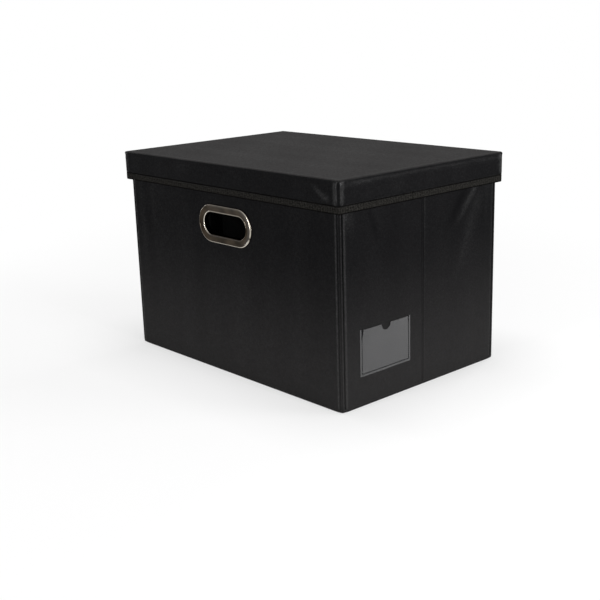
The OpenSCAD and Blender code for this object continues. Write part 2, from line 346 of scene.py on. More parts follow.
# ---- Handle walls ----
# Front and back: each is a greyboard in a leatherette cover, glued and hemmed on the inside. At
# the corners the cover is sewn: a stitched lip, a sunk seam, and the board's edge.
wall_foot, wall_h = 4.3, 258.9
side_hem, top_hem = 10.0, 26.0
skin_t = 0.38                 # drawn thinner than the real 0.9, so that it turns the seams cleanly
lining_t, lining_lie = 0.18, 3.62      # lining_lie is how deep below the panel's face it lies
hole_straight, hole_r = (81.0 - 28.0) / 2, 28.0 / 2      # half the slot's straight part, and its radius
hole_u, hole_v = body_w / 2, wall_h - 72.0
cut_back = 4.0                # the sheets' holes are this much larger than the rim's


def waves(u, v, seed):
    """Slack left in glued leatherette: low waves that run up the panel, from -1 to 1."""
    a, b = 0.7 * seed, 1.9 * seed
    return (0.45 * np.sin(u / 8.5 + a + 0.5 * np.sin(v / 60 + b)) + 0.3 * np.sin(u / 19 + b + v / 120)
            + 0.25 * np.sin(v / 33 + u / 52 + a))


def eased_in(t):
    t = np.clip(t, 0, 1)
    return t * t * (3 - 2 * t)


def settle(distance, reach=22.0):
    """0 at an edge and 1 well away from it, where glued leather is free to wave."""
    return eased_in(distance / reach)


def pucker(u, v, start, end, width, proud):
    """A soft ridge from start to end: it rises quickly at its start and dies away towards its end."""
    (x0, y0), (x1, y1) = start, end
    length = math.hypot(x1 - x0, y1 - y0)
    t = ((u - x0) * (x1 - x0) + (v - y0) * (y1 - y0)) / length ** 2
    off = ((u - x0) * (y1 - y0) - (v - y0) * (x1 - x0)) / length
    return proud * swell(off, width) * eased_in(np.minimum((t + 0.12) / 0.3, (1.12 - t) / 0.7))


def rub(raised, near):
    """How shiny a sheet is worn where it stands proud, up to 1, or how dull it stays in a hollow.

    near is the distance to a seam, where the rolls are narrow and hard and rub the most."""
    return np.clip(raised / np.interp(near, [8.0, 12.0], [0.45, 1.7]), -0.28, 1)


def wall_relief(seed):
    def relief(u, v):
        near = to_end(u, body_w)
        lip, sunk = 0.16 * swell(near - 2.0, 0.8), -0.34 * swell(near - 3.5, 0.7)
        board_edge = np.interp(near, [3.8, 4.7, 5.3, 6.0, 7.2, 9.0], [0, 0.48, 0.56, 0.44, 0.1, 0])
        around_handle = np.hypot(np.maximum(np.abs(u - hole_u) - hole_straight, 0), v - hole_v)
        calm = settle(near - 8) * settle(wall_h - v + 6, 30) * settle(v + 4, 26)
        calm = calm * settle(around_handle - 22, 30)
        slack_band = 0.4 * swell(u - 20 - 3 * np.sin(v / 50), 6.5) * settle(v - 60, 120)
        slack_band = slack_band + 0.2 * swell(u - 47 - 4 * np.sin(v / 61), 8.0) * settle(v - 90, 120)
        return lip + sunk + board_edge + calm * (0.11 * waves(u, v, seed) + slack_band)
    return relief


def wall_rub(points, raised):
    near = to_end(points[:, 0], body_w)
    corner_roll = 0.3 * (near < 0.5) * swell(points[:, 2] - 2.2, 0.8)     # the middle of the upright ends
    return rub(raised + corner_roll, near)


# Round the upright ends: over the lip, into the sunk seam on the corner, and out over the 4 mm end.
hem_run = spread([(2.5, wall_t), (side_hem, wall_t)], 3)
corner_run = np.concatenate([
    [(1.6, 0), (1.15, 0.06), (0.93, 0.28), (0.87, 0.6), (0.86, 0.86), (0.6, 0.87), (0.28, 0.93), (0.06, 1.2)],
    [(-0.16, 1.75), (-0.26, 2.3), (-0.2, 2.9), (-0.02, 3.4), (0.3, 3.78), (0.9, wall_t)], hem_run])
top_run = np.concatenate([
    spread([(1.6, 0), (0.9, 0.12), (0.35, 0.5), (0.06, 1.1), (0, 1.6)], 8),
    spread([(0, 2.1), (0.06, 2.9), (0.35, 3.5), (0.9, 3.88), (1.5, wall_t)], 6),
    spread([(4, wall_t), (top_hem, wall_t)], 3)])
foot_run = np.concatenate([
    spread([(0.5, 0), (0.2, 0.04), (0.05, 0.16), (0, 0.5)], 8),
    spread([(0, 1), (0, 3.5), (0.1, 3.9), (0.4, wall_t)], 6), hem_run])


def cut_hole(points, faces, depth):
    """Takes the hand hole out of a sheet and brings its edge on to the slot's outline."""
    def spine(p):
        return np.array([np.clip(p[0] - hole_u, -hole_straight, hole_straight) + hole_u, hole_v])

    def inside(p):
        return np.linalg.norm(p[:2] - spine(p)) < hole_r + cut_back and abs(p[2] - depth) < 0.6

    out = [inside(points[list(f)].mean(0)) for f in faces]
    kept = [f for f, gone in zip(faces, out) if not gone]
    for i in {i for f, gone in zip(faces, out) if gone for i in f} & {i for f in kept for i in f}:
        middle = spine(points[i])
        arm = points[i, :2] - middle
        points[i, :2] = middle + arm / np.linalg.norm(arm) * (hole_r + cut_back)
    return points, kept


def finish_sheet(made, body, stands_for, thick):
    """Gives a sheet its thickness, and says what it rides on and stands for."""
    shell = made.modifiers.new("Thickness", "SOLIDIFY")
    shell.thickness = thick * MM
    shell.offset = -1.0
    bpy.context.view_layer.update()
    solid = bpy.data.meshes.new_from_object(made.evaluated_get(bpy.context.evaluated_depsgraph_get()))
    solid.name = made.name
    made.modifiers.remove(shell)
    made.data = solid
    solid.set_sharp_from_angle(angle=math.radians(40))      # the cut edges
    rides(made, body, stands_for)


def covered_panel(panel, places, runs, relief, shine_and_painted_highlight, place, flipped, seed, hole=False):
    """A stiff panel's leatherette, and the non-woven inside its hems, on the bare board."""
    runs = {**runs, "bottom": foot_run, "top": top_run}
    points, faces, _, raised = wrapped_sheet(*places, runs, relief, flat)
    if hole:
        points, faces = cut_hole(points, faces, 0.0)
    cover = piece(f"{panel}_leatherette", points, faces, leatherette, place, shine_and_painted_highlight=shine_and_painted_highlight(points, raised),
                  flipped=flipped)
    finish_sheet(cover, panel, f"{panel}_cover", skin_t)

    length = places[0][-1] + runs["right"][0, 0]
    tucked = 3.0              # the lining's edges lie this far under the hems
    us = np.linspace(side_hem - tucked, length - side_hem + tucked, round((length - 2 * side_hem) / 5) + 2)
    vs = np.linspace(side_hem - tucked, wall_h - top_hem + tucked, 50)
    gu, gv = np.meshgrid(us, vs, indexing="ij")
    points = np.stack([gu, gv, lining_lie + 0.05 * waves(gu, gv, seed)], -1).reshape(-1, 3)
    faces = grid_faces(np.arange(len(points)).reshape(gu.shape).T)
    if hole:
        points, faces = cut_hole(points, faces, lining_lie)
    inner = piece(f"{panel}_nonwoven", points, faces, nonwoven, place, uv=points[:, :2], flipped=flipped)
    finish_sheet(inner, panel, f"{panel}_lining",
                 lining_t)


def in_front_wall(u, v, depth):
    return (u - body_w / 2, -body_d / 2 + depth, v + wall_foot)


def mirrored(place, x=1, y=1):
    """The same panel on another side of the box."""
    return lambda u, v, depth: tuple(a * b for a, b in zip(place(u, v, depth), (x, y, 1)))


in_back_wall = mirrored(in_front_wall, y=-1)
wall_ends = [1.6, 1.9, 2.3, 2.8, 3.3, 3.7, 4.1, 4.6, 5.2, 5.8, 6.4, 7.2, 8.4, 10.0, 13.0]
foot_vs, top_vs = [0.5, 1.5, 4.0], wall_h - np.array([4.5, 2.8, 1.6])
wall_places = steps(body_w, wall_ends, 4.2), np.concatenate([foot_vs, np.linspace(8, wall_h - 8, 62), top_vs])
for side, place, flipped, seed in (("front", in_front_wall, False, 1.0), ("back", in_back_wall, True, 4.0)):
    covered_panel(f"{side}_wall", wall_places, {"left": corner_run, "right": corner_run}, wall_relief(seed),
                  wall_rub, place, flipped, seed, hole=True)

# ---- Folding sides ----
# Each side is two narrow panels made like the walls, hinged on one another at the upright crease
# and on the walls at the corners, so that the box folds flat.
corner_gap, crease_gap = 0.6, 0.4
leaf_len = body_d / 2 - wall_t - corner_gap - crease_gap / 2


def in_right_front(u, v, depth):
    return (body_w / 2 - depth, -body_d / 2 + wall_t + corner_gap + u, v + wall_foot)


# u runs from the corner to the crease. The puckers are where the cloth is short at the rear corners.
def leaf_relief(seed, ridge_at_crease, puckers):
    def relief(u, v):
        to_crease = leaf_len - u
        board_edge = np.interp(u, [0, 0.7, 1.5, 2.0, 2.7, 4.2, 6.0], [-0.15, 0.05, 0.5, 0.54, 0.44, 0.1, 0])
        shoulder = ridge_at_crease * (0.4 + 0.6 * settle(v - 120, 110)) * swell(to_crease - 2.6, 1.0)
        dip = -0.4 * swell(to_crease, 1.5)
        calm = settle(u - 4) * settle(to_crease - 4, 26) * settle(v + 4, 26) * settle(wall_h - v + 14, 30)
        out = board_edge * (1.0 if ridge_at_crease == 0 else 0.45) + shoulder + dip
        return out + 0.1 * calm * waves(u, v, seed) + sum(pucker(u, v, *one) for one in puckers)
    return relief


def leaf_rub(points, raised):
    return rub(raised, np.minimum(points[:, 0] + 1, (leaf_len - points[:, 0]) * 2))


end_run = np.concatenate([spread([(1, 0), (0.5, 0.13), (0.13, 0.5), (0, 1)], 8),
                          spread([(0, 1.6), (0, 3.4), (0.12, 3.85), (0.5, wall_t)], 6), hem_run])
rear_puckers = [((32, 227), (73, 180), 3.2, 0.85), ((25, 219), (74, 109), 8.0, 0.6),
                ((12, 236), (15, 170), 4.0, 0.25), ((46, 234), (92, 176), 6.0, -0.3),
                ((30, 205), (62, 128), 4.5, -0.25)]
front_puckers = [((41, 226), (57, 180), 4.5, -0.32), ((7, 240), (16, 192), 6.5, 0.45),
                 ((34, 120), (20, 60), 5.0, 0.12)]
leaves = (("right_front", 1, 1, 2.2, 0.0, front_puckers),
          ("right_rear", 1, -1, 3.1, 0.28, rear_puckers),
          ("left_front", -1, 1, 5.3, 0.0, [((18, 230), (70, 150), 4.0, 0.7)]),
          ("left_rear", -1, -1, 6.7, 0.24, [((24, 232), (48, 140), 4.0, 0.6)]))
leaf_places = (np.concatenate([[1.0, 1.5, 2.2, 2.9, 3.7, 4.8, 6.5], np.linspace(9, leaf_len - 6, 52),
                               leaf_len - np.array([4.2, 2.9, 2.2, 1.6, 1.0])]),
               np.concatenate([foot_vs, np.linspace(8, wall_h - 8, 84), top_vs]))
for side, x, y, seed, ridge, puckers in leaves:
    relief, place = leaf_relief(seed, ridge, puckers), mirrored(in_right_front, x, y)
    covered_panel(f"{side}_leaf", leaf_places, {"left": end_run, "right": end_run}, relief, leaf_rub, place,
                  x * y < 0, seed)      # one mirroring turns the faces, and two don't

# ---- Hinges ----
# The cover sheet runs on through the side creases as a bare strip of leatherette, and a sewn welt
# closes each corner on its hinge line.
strip_depth, strip_t, strip_half = 0.6, 0.6, 0.24
strip_foot, strip_top = wall_foot + 0.5, wall_foot + wall_h - 1.2


def tube(rows, n, closed=False):
    """Faces between rows of n points, each an outline; closed joins the last row to the first."""
    return [(r * n + a, r * n + (a + 1) % n, (r + 1) % rows * n + (a + 1) % n, (r + 1) % rows * n + a)
            for r in range(rows if closed else rows - 1) for a in range(n)]


strip_ys = np.linspace(-strip_half, strip_half, 11)
section = [(y, strip_depth + 0.12 * math.cos(math.pi * y / strip_half / 2)) for y in strip_ys]
section += [(y, strip_depth + strip_t) for y in strip_ys[::-1]]
zs, n = np.linspace(strip_foot, strip_top, 40), len(section)
faces = tube(len(zs), n)
for row in (0, (len(zs) - 1) * n):      # the strip's two cut ends, as quads across its thickness
    faces += [(row + a, row + a + 1, row + n - 2 - a, row + n - 1 - a) for a in range(len(strip_ys) - 1)]
for side, sign in (("right", 1), ("left", -1)):
    points = [(sign * (body_w / 2 - d), y, z) for z in zs for y, d in section]
    strip = piece(f"{side}_crease_strip", points, faces, leatherette, outwards=True)
    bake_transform(strip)

hinge_x, hinge_y = body_w / 2 - wall_t, body_d / 2 - wall_t - corner_gap / 2
zs = np.linspace(strip_foot, strip_top, 60)
radii = 0.33 * (1 - 0.05 * np.sin(zs * 1.9) ** 2)      # a welt is nipped at every stitch
turn = np.linspace(0, 2 * math.pi, 10, endpoint=False)
n = len(turn)
for name, sign_x, sign_y in (("front_right", 1, -1), ("front_left", -1, -1), ("back_right", 1, 1),
                             ("back_left", -1, 1)):
    points = [(sign_x * hinge_x + r * math.cos(t), sign_y * hinge_y + r * math.sin(t), z)
              for z, r in zip(zs, radii) for t in turn]
    faces = tube(len(zs), n) + [tuple(range(n)), tuple(range((len(zs) - 1) * n, len(zs) * n))]
    welt = piece(f"{name}_corner_welt", points, faces, leatherette, outwards=True)
    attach(welt, "front_wall" if sign_y < 0 else "back_wall")

# ---- Handles ----
# A pressed steel rim with its sleeve goes through each wall from outside, and the sleeve is
# clinched over a flat ring inside. Both are plated in dark nickel and polished.

# Polished black nickel: a warm dark mirror, hazed by wiping. On the rolled edges the colour is painted
# almost white: painted highlight, standing in for the lamps' reflection in the inner lip and the outer bead.
nickel, tree = new_finish("Steel, polished black nickel plate")
where = node(tree, "TexCoord").outputs["Object"]
wiped = node(tree, "TexNoise", {"Vector": where, "Scale": 1 / (14 * MM), "Detail": 4})
scratch = node(tree, "TexNoise", {"Vector": where, "Scale": 1 / (1.2 * MM), "Detail": 3})
haze = node(tree, "MapRange", [wiped, 0.35, 0.7, 0.09, 0.17])
stain = node(tree, "MapRange", [wiped, 0.36, 0.64])
cast = node(tree, "MixRGB", [stain, "#231e17", "#3c342a"])
# Painted highlight: the pale colour on the rolled edges comes from this per-point attribute
edges = node(tree, "Attribute", attribute_name="Shine and painted highlight").outputs["Fac"]
bright = node(tree, "MixRGB", [edges, cast, "#c9c2b6"])
dents = node(tree, "Bump", {"Height": scratch, "Strength": 0.12, "Distance": 0.04 * MM})
surface(tree, {"Base Color": bright, "Metallic": 1.0, "Roughness": haze, "Normal": dents})

metal_t, ring_t = 0.8, 1.2
ring_edge = metal_t + 7.0     # the ring is 7 wide
arc_points = 37               # round each end of the slot
# (out from the hole's edge, proud of the leatherette): down the bore, over the inner lip, across the
# dished flat, over the rolled outer edge and back under it to the sleeve.
rim_section = [(0, -5.1), (0, -3.4), (0, -1.7), (0, -0.4), (0.02, 0.5), (0.14, 1.1), (0.42, 1.55),
               (0.85, 1.7), (1.25, 1.55), (1.55, 1.2), (1.8, 0.95), (2.2, 0.88), (3, 0.92), (4.2, 1.1),
               (5.6, 1.34), (7, 1.56), (7.6, 1.72), (8, 2), (8.45, 2.2), (8.95, 2.14), (9.5, 1.7), (9.85, 1),
               (9.98, 0.4), (9.9, 0), (9.3, -0.05), (6, -0.03), (2, -0.03), (metal_t, -0.06), (metal_t, -2),
               (metal_t, -4.1), (metal_t, -5.1)]
ring_section = [(metal_t, 0), (metal_t, 0.7), (metal_t + 0.15, 1.05), (metal_t + 0.5, ring_t), (3, ring_t),
                (5.6, ring_t), (7.3, ring_t), (7.65, 1.05), (ring_edge, 0.7), (ring_edge, 0), (4, 0)]

# Points round the hand hole's edge, with the way out from it: (u, v, out u, out v)
slot_run = [(hole_u + hole_straight + hole_r * a, hole_v + hole_r * b, a, b)
            for a, b in ((math.sin(t), math.cos(t)) for t in np.linspace(0, math.pi, arc_points))]
slot_run += [(2 * hole_u - u, 2 * hole_v - v, -a, -b) for u, v, a, b in slot_run]


def painted_edge_highlight(along, upwards, out, proud):
    """How bright the painted highlight is: on the inner lip towards its left and top, and on the outer bead,
    most towards its right and below.
    """
    lip = np.interp(out, [0, 0.15, 1.2, 1.6], [0.5, 1, 1, 0]) * (proud > 0.3)
    bead = np.interp(out, [8.4, 8.9, 9.5, 9.9], [0, 1, 1, 0.2]) * (proud > 0.1)
    amount = min(0.9 * max(-along, 0) + 0.35 * max(upwards, 0), 0.9)
    bead_amount = min(0.2 + 0.55 * max(along, 0) + 0.75 * max(-upwards, 0), 1.0)
    bead_amount *= 1 - swell(math.atan2(upwards, along) + 0.44, 0.1)     # a gap in the painted highlight on its right, below the middle
    return float(max(lip * amount, bead * bead_amount))


def handle_part(name, section, place, shine_and_painted_highlight, body, stands_for):
    """A plated ring round the hand hole, with its outline's hard corners kept sharp."""
    points = [(u + out * a, v + out * b, -proud) for u, v, a, b in slot_run for out, proud in section]
    made = piece(name, points, tube(len(slot_run), len(section), closed=True), nickel, place, shine_and_painted_highlight=shine_and_painted_highlight,
                 outwards=True)
    made.data.set_sharp_from_angle(angle=math.radians(55))
    rides(made, body, stands_for)


for side, place in (("front", in_front_wall), ("back", in_back_wall)):
    # Painted highlight on the rim's rolled edges, for each point of its outline
    edge_highlight = [painted_edge_highlight(a, b, out, proud) for _, _, a, b in slot_run for out, proud in rim_section]
    handle_part(f"{side}_handle_rim_plate", rim_section, place, edge_highlight, f"{side}_wall", f"{side}_handle_rim")
    handle_part(f"{side}_handle_clinch_ring", [(out, -wall_t - p) for out, p in ring_section], place, None,
                f"{side}_wall", f"{side}_handle_back_ring")

# ---- Label pocket ----
# A sheet of clear soft PVC with a thumb notch, sewn down on three sides of the right front panel
# and open at the top, where the sheet stands off the leatherette a little.

# Clear soft PVC with a glassy but uneven gloss. It is drawn as a grey film, nearly opaque: the grey is
# painted reflection, standing in for the light that the clear film reflects.
vinyl, tree = new_finish("PVC film, clear and soft")
where = node(tree, "TexCoord").outputs["Object"]
hung = node(tree, "Mapping", {"Vector": where, "Scale": (1.0, 1.0, 0.22)})
ripple = node(tree, "TexNoise", {"Vector": hung, "Scale": 1 / (11 * MM), "Detail": 2})
scuff = node(tree, "TexNoise", {"Vector": where, "Scale": 1 / (2.5 * MM), "Detail": 5})
gloss = node(tree, "MapRange", [scuff, 0.35, 0.7, 0.16, 0.26])
# Painted reflection: a grey base colour, mottled by the scuffs
painted_reflection = node(tree, "MixRGB", [scuff, "#363637", "#424243"])
wavy = node(tree, "Bump", {"Height": ripple, "Strength": 0.5, "Distance": 0.6 * MM})
surface(tree, {"Base Color": painted_reflection, "Roughness": gloss, "IOR": 1.53, "Alpha": 0.9, "Normal": wavy})

pocket_w, pocket_h, notch_r = 84.0, 56.0, 7.4
pocket_u = 29.5 - wall_t - corner_gap      # 29.5 from the box's corner, here from the panel's own end
pocket_v = 36.3 - wall_foot                # 36.3 above the table
seam_in, film_t = 3.0, 0.18
slit_from, slit_wide = 44.5, 2.2           # the film has pulled off its border at the top left
edge_us = np.array([0, 0.4, 1.2, 2.0, 2.6, 3.0, 3.6, 4.4, 5.6])
pocket_us = np.unique(np.round(np.concatenate([
    edge_us, np.linspace(8, pocket_w / 2 - notch_r - 1, 9), pocket_w / 2 + np.linspace(-notch_r, notch_r, 23),
    np.linspace(pocket_w / 2 + notch_r + 1, pocket_w - 8, 9), pocket_w - edge_us[::-1]]), 3))
foot_edge = [0, 0.4, 1.2, 2.0, 2.6, 3.0, 3.6, 4.6]
rows, slit_rows = 34, 6       # points up the film, and how many of them are in the slit


def pocket_top(u):
    """The cut top edge: straight, with the round thumb notch, and a little lower between the borders."""
    off = abs(u - pocket_w / 2)
    border = 0.45 if to_end(u, pocket_w) < 2.8 else -0.35
    return pocket_h + border - math.sqrt(max(notch_r ** 2 - off ** 2, 0))


def film_lift(u, v):
    """How far the film stands off the leatherette: sunk along the seam, and gaping at the top."""
    side = to_end(u, pocket_w)
    held = 1 - math.exp(-(max(min(side, v) - seam_in, 0) / 3.0))
    gape = settle(v - 30, 26) * settle(side - seam_in, 16)
    border = 0.3 * swell(min(side, v) - 1.3, 0.9)
    billow = 0.35 * settle(side - 8, 14) * settle(v - 8, 14) * math.sin(u / 9.5 + v / 31)
    return 0.12 + 0.3 * held + 0.55 * gape + border + billow * 0.5


def on_pocket(u, v, above=0.0, slid=0.0):
    """A place in the film, or above it, as (u, v, depth) in the right front panel."""
    under = leaf_relief(2.2, 0.0, front_puckers)(u + pocket_u, v + pocket_v)
    return u + slid + pocket_u, v + pocket_v, -under - film_lift(u, v) - above


points = []
for u in pocket_us:
    ladder = np.concatenate([foot_edge, np.linspace(7, slit_from, rows - slit_rows - len(foot_edge)),
                             np.linspace(slit_from, pocket_top(u), slit_rows + 1)[1:]])
    for v in ladder:
        amount = slit_wide * max(v - slit_from, 0) / (pocket_h - slit_from) if 3.2 < u < 6 else 0.0
        points.append(on_pocket(u, v, slid=amount * (1.0 if u < 4 else 0.5)))
at = np.arange(len(points)).reshape(len(pocket_us), rows)
torn = set(at[int(np.argmin(abs(pocket_us - seam_in))), rows - slit_rows - 1:])
faces = [f for f in grid_faces(at) if f[0] not in torn]
pocket = piece("label_pocket_film", points, faces, vinyl, in_right_front)
finish_sheet(pocket, "right_front_leaf", "label_pocket",
             film_t)

# ---- Lid cover ----
# One sheet of the same leatherette over a greyboard top and skirt. It is cut out and sewn at the
# four corners, where the seam sinks between two soft rolls.
lid_w, lid_d, overall_h = 408.2, 283.2, 267.0
rim_z, binding_h = 229.7, 9.4
skirt_h = overall_h - rim_z - binding_h


def lid_top_relief(u, v):
    edge = np.minimum(to_end(u, lid_w), to_end(v, lid_d))
    loose = 0.07 * settle(edge - 6, 40) * (waves(v, u, 8.3) + 0.8 * np.sin(u / 26 + v / 41))
    return loose - 0.02 + 0.08 * swell(edge - 4.5, 2.5)


# How proud the sewn corner is at a distance from it: sunk seam, steep inner flank, soft roll.
roll_from = [0, 0.6, 1.2, 1.9, 3.3, 4.1, 4.9, 6.4, 8, 10]
roll_proud = [-1.3, -1, -0.45, 0.1, 0.86, 1, 0.9, 0.5, 0.18, 0]
# Pulls beside the near corner, as (start, end, width, proud), from that corner and down from the top
skirt_puckers = [((16.5, 22.5), (43, 6.5), 2.9, 1.15), ((14, 24), (27, 15), 3.8, 0.6),
                 ((14, 16), (38, 3.5), 2.2, -0.35)]


def skirt_relief(side, along, depth):
    """The skirt's own relief, from the side, the place along it and the depth below the top."""
    ends = side in ("left", "right")
    near = to_end(along, lid_d if ends else lid_w)
    roll = np.interp(near, roll_from, roll_proud)
    if roll > 0 and (side == "top" or (ends and along > lid_d / 2)):
        roll *= 0.55          # the two rear corners are sewn flatter
    top_line = -0.5 * swell(depth - 3.2, 1.5)
    bulge = (0.06 + 0.6 * math.exp(-near / 30)) * swell(depth - 8, 3)
    calm = settle(near - 8, 20)
    out = 0.16 * calm * waves(along, depth * 3, {"left": 2, "right": 5, "bottom": 7, "top": 9}[side])
    out += roll * settle(depth, 5.0)
    out += (top_line + bulge) * calm + bulge * (1 - calm) * 0.4 if ends else 0.3 * (top_line + bulge) * calm
    if side == "bottom":      # v = 0 is the front
        out += sum(pucker(lid_w - along, depth, *one) for one in skirt_puckers)
    return float(out - 0.42 * swell(depth - skirt_h + 0.8, 1.1))     # pressed in above the tape


skirt_run = np.concatenate([
    spread([(2.6, 0), (1.5, 0.2), (0.75, 0.75), (0.2, 1.5), (0, 2.6)], 8),
    [(0, d) for d in np.linspace(3.4, skirt_h - 0.6, 17)],
    spread([(0.1, skirt_h - 0.15), (0.5, skirt_h), (1.3, skirt_h)], 3)])
lid_ends = [2.6, 2.85, 3.2, 3.6, 4.1, 4.7, 5.4, 6.2, 7.1, 8.2, 9.6, 11.5, 14.0, 18.0]
points, faces, _, raised = wrapped_sheet(
    steps(lid_w, lid_ends, 3.6), steps(lid_d, lid_ends, 3.6), dict.fromkeys(SIDES, skirt_run), lid_top_relief,
    skirt_relief, margin=24.0)
lid_cover = piece("lid_leatherette", points, faces, leatherette,
                  lambda u, v, depth: (u - lid_w / 2, v - lid_d / 2, overall_h - depth),
                  shine_and_painted_highlight=rub(raised, np.maximum(to_end(points[:, 0], lid_w), to_end(points[:, 1], lid_d))))
finish_sheet(lid_cover, "lid", "lid_cover", skin_t)

# ---- Lid lining ----
# The same spunbond non-woven covers the boards inside the lid. It is glued to them, pushed into
# the lid's corners and cut off just above the rim, where the binding holds it.
lining_in = 2.7               # the lining's own face, in from the lid's outer face
lining_top = overall_h - 3.32
drop = lining_top - (rim_z + 1.0)
inner_w, inner_d = lid_w - 2 * lining_in, lid_d - 2 * lining_in
lining_run = np.concatenate([spread([(2, 0), (1.1, 0.15), (0.4, 0.6), (0, 2)], 5),
                             [(0, d) for d in np.linspace(3.5, drop, 8)]])
lining_ends = [2.0, 3.0, 4.5, 7.0, 11.0]
points, faces, _, _ = wrapped_sheet(steps(inner_w, lining_ends, 9), steps(inner_d, lining_ends, 9),
                                    dict.fromkeys(SIDES, lining_run),
                                    lambda u, v: 0.09 * waves(u, v, 3.7), flat, margin=24.0)
lid_lining = piece("lid_nonwoven", points, faces, nonwoven,
                   lambda u, v, depth: (u - inner_w / 2, v - inner_d / 2, lining_top - depth),
                   uv=points[:, :2] + points[:, 2:], flipped=True)
finish_sheet(lid_lining, "lid", "lid_lining", lining_t)

# ---- Binding ----
# A ribbed woven tape folded over the rim of the lid and sewn through all layers. Its two ends butt
# together in front of the middle of the right side.

# Woven polypropylene tape: matt, a browner black than the leatherette, with close upright ribs.
tape, tree = new_finish("Tape, ribbed woven polypropylene")
BANDS = 6.2832 / 20           # how far apart a wave texture's bands lie at scale 1
RIB = 4.0 * MM                # ribs are about 1 mm apart; drawn coarser, so that they show
PICK = 1.8 * MM               # picks are about 0.5 mm apart; drawn coarser too
tape_uv = node(tree, "UVMap", uv_map="Sheet")
ribs = node(tree, "TexWave", {"Vector": tape_uv, "Scale": BANDS / RIB, "Distortion": 2.6, "Detail": 2,
                              "Detail Scale": 1.3}, bands_direction="X")
picks = node(tree, "TexWave", {"Vector": tape_uv, "Scale": BANDS / PICK, "Distortion": 0.8},
             bands_direction="Y")
lint = node(tree, "TexNoise", {"Vector": tape_uv, "Scale": 1 / (7 * MM), "Detail": 5})
cords = node(tree, "Math", [picks.outputs["Fac"], 0.35, ribs.outputs["Fac"]], operation="MULTIPLY_ADD")
ribbed = node(tree, "Bump", {"Height": cords, "Strength": 0.7, "Distance": 0.25 * MM})
fluff = node(tree, "TexNoise", {"Vector": tape_uv, "Scale": 1 / (1.7 * MM), "Detail": 3})
fuzz = node(tree, "MapRange", [fluff, 0.36, 0.64, 0.0, 0.75])
mixed = node(tree, "Math", [cords, 0.25, fuzz], operation="MULTIPLY_ADD")
# Painted shade: the tape is painted near black along its top, under the skirt's edge, and at its fold round
# the rim
place_across = node(tree, "SeparateXYZ", [tape_uv]).outputs["Y"]
shade_under_skirt = node(tree, "MapRange", [place_across, 0.9 * MM, 2.4 * MM])
shade_at_rim_fold = node(tree, "MapRange", [place_across, 9.4 * MM, 7.8 * MM])
unshaded = node(tree, "Math", [shade_under_skirt, shade_at_rim_fold], operation="MULTIPLY")
weave_and_shade = node(tree, "Math", [mixed, unshaded], operation="MULTIPLY")
# Painted shade: the bands under the skirt and at the fold go near black
dyed_and_shaded = node(tree, "MixRGB", [weave_and_shade, "#040404", "#2b2a28"])
caught = node(tree, "MapRange", [lint, 0.4, 0.7, 0.0, 0.25])
base_tone = node(tree, "MixRGB", [caught, dyed_and_shaded, "#1a1917"])
surface(tree, {"Base Color": base_tone, "Roughness": 0.85, "Specular IOR Level": 0.0, "Normal": ribbed})

binding_set = 0.2             # the tape lies 0.2 behind the leatherette
binding_r = 1.8
joint_y = -24.3               # where the tape's two ends butt together
joint_steps = np.array([-3, -1.5, -0.9, -0.4, 0, 0.4, 0.9, 1.5, 3])


def rim_run(pitch):
    """Points round the lid's rim with their way out and the distance along: (x, y, out x, out y, s)."""
    half_w, half_d = lid_w / 2 - binding_set, lid_d / 2 - binding_set
    quarter = math.pi / 2
    run, s = [], 0.0
    for turn, (length, reach) in enumerate([(half_d * 2, half_w), (half_w * 2, half_d)] * 2):
        a = quarter * turn
        out, way = np.array([math.cos(a), math.sin(a)]), np.array([-math.sin(a), math.cos(a)])
        straight = length - 2 * binding_r
        places = steps(straight, [0, 0.7, 1.5, 2.5, 4.0, 6.0, 9.0], pitch)
        if turn == 0:
            places = np.unique(np.round(np.concatenate([places, joint_y + straight / 2 + joint_steps]), 3))
        run += [(*(reach * out + (t - straight / 2) * way), *out, s + t) for t in places]
        s += straight
        centre = (reach - binding_r) * out + straight / 2 * way
        for b in np.arange(1, 5) * quarter / 5:
            aside = np.array([math.cos(a + b), math.sin(a + b)])
            run.append((*(centre + binding_r * aside), *aside, s + binding_r * b))
        s += binding_r * quarter
    return run


# The folded tape's section: (out from the tape's outer face, height above the rim, place across it)
inner_leg = -3.0              # the face of the leg inside the lid
tape_section = [(-0.6, 9.75, 0), (-0.25, 9.72, 0.3), (-0.06, 9.35, 0.7), (0, 8.9, 1.1), (0.1, 7, 2.9),
                (0.14, 4.8, 5.1), (0.12, 2.6, 7.3), (0.02, 1.1, 8.8), (-0.3, 0.3, 9.7), (-0.9, 0, 10.4),
                (-1.6, -0.02, 11.1),
                (inner_leg + 0.5, 0.15, 12), (inner_leg + 0.08, 0.7, 12.7), (inner_leg, 2, 14),
                (inner_leg, 5, 17), (inner_leg, 8.7, 20.7), (inner_leg + 0.2, 9.2, 21.3),
                (inner_leg + 0.6, 9.2, 21.7), (inner_leg + 0.7, 8.6, 22.3), (inner_leg + 0.7, 0.9, 30),
                (-0.7, 0.9, 31.7), (-0.7, 8.8, 39.6)]
run = rim_run(5.0)
points, uvs = [], []
